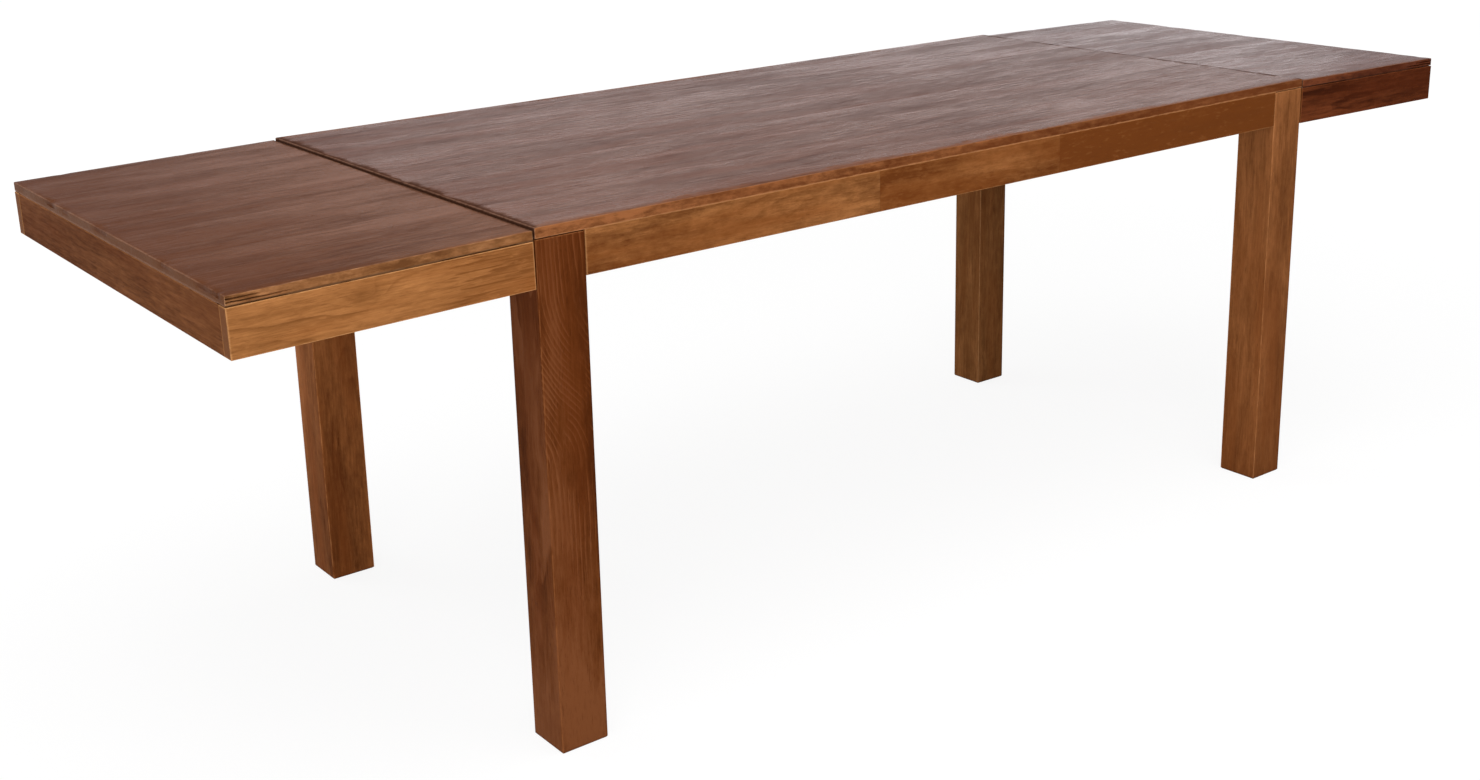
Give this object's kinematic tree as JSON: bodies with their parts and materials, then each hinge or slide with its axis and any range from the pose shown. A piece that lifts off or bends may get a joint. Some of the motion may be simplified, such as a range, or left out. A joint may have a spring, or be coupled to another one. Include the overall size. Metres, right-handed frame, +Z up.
{
  "type": "draw leaf table",
  "caption": "Rectangular wooden dining table on square corner legs, with a skirted end leaf drawn out on runners at each end.",
  "frame": {"origin": "on the floor, below the centre of the fixed top, which is the bottom centre of the bounding box", "axes": "+Z up, +X along the table and its leaves, +Y across it, with the front long side at -Y"},
  "size_m": [2.4214, 0.8, 0.75],
  "materials": {
    "top_wood": "satin lacquered brown hardwood, long grain",
    "leaf_wood": "satin lacquered brown hardwood, long grain, worn edges",
    "frame_wood": "satin oiled golden to red brown hardwood",
    "inner_wood": "plain sanded hardwood, unfinished",
    "steel": "zinc plated"
  },
  "bodies": {
    "table": {"back_apron": "frame_wood", "back_left_corner_block": "inner_wood", "back_left_leg": "frame_wood", "back_right_corner_block": "inner_wood", "back_right_leg": "frame_wood", "batten_screws": "steel", "button_screws": "steel", "centre_batten": "inner_wood", "corner_block_screws": "steel", "front_apron": "frame_wood", "front_left_corner_block": "inner_wood", "front_left_leg": "frame_wood", "front_right_corner_block": "inner_wood", "front_right_leg": "frame_wood", "hanger_bolts": "steel", "hoop_screws": "steel", "left_back_runner_hoop": "inner_wood", "left_end_apron": "frame_wood", "left_front_runner_hoop": "inner_wood", "left_guide_batten": "inner_wood", "nuts": "steel", "right_back_runner_hoop": "inner_wood", "right_end_apron": "frame_wood", "right_front_runner_hoop": "inner_wood", "right_guide_batten": "inner_wood", "top_buttons": "inner_wood", "top_plank_1": "top_wood", "top_plank_2": "top_wood", "top_plank_3": "top_wood", "top_plank_4": "top_wood", "washers": "steel"},
    "left_leaf": {"left_leaf_back_runner": "inner_wood", "left_leaf_back_skirt": "frame_wood", "left_leaf_corner_blocks": "inner_wood", "left_leaf_dowels": "inner_wood", "left_leaf_end_skirt": "frame_wood", "left_leaf_front_runner": "inner_wood", "left_leaf_front_skirt": "frame_wood", "left_leaf_inner_batten": "inner_wood", "left_leaf_outer_batten": "inner_wood", "left_leaf_plank_1": "leaf_wood", "left_leaf_plank_2": "leaf_wood", "left_leaf_plank_3": "leaf_wood", "left_leaf_plank_4": "leaf_wood", "left_leaf_screws": "steel"},
    "right_leaf": {"right_leaf_back_runner": "inner_wood", "right_leaf_back_skirt": "frame_wood", "right_leaf_corner_blocks": "inner_wood", "right_leaf_dowels": "inner_wood", "right_leaf_end_skirt": "frame_wood", "right_leaf_front_runner": "inner_wood", "right_leaf_front_skirt": "frame_wood", "right_leaf_inner_batten": "inner_wood", "right_leaf_outer_batten": "inner_wood", "right_leaf_plank_1": "leaf_wood", "right_leaf_plank_2": "leaf_wood", "right_leaf_plank_3": "leaf_wood", "right_leaf_plank_4": "leaf_wood", "right_leaf_screws": "steel"}
  },
  "joints": [
    {"name": "left_leaf_slide", "type": "slide", "parent": "table", "child": "left_leaf", "axis": [-1, 0, 0], "range_m": [0, 0.28]},
    {"name": "right_leaf_slide", "type": "slide", "parent": "table", "child": "right_leaf", "axis": [1, 0, 0], "range_m": [0, 0.28]}
  ]
}
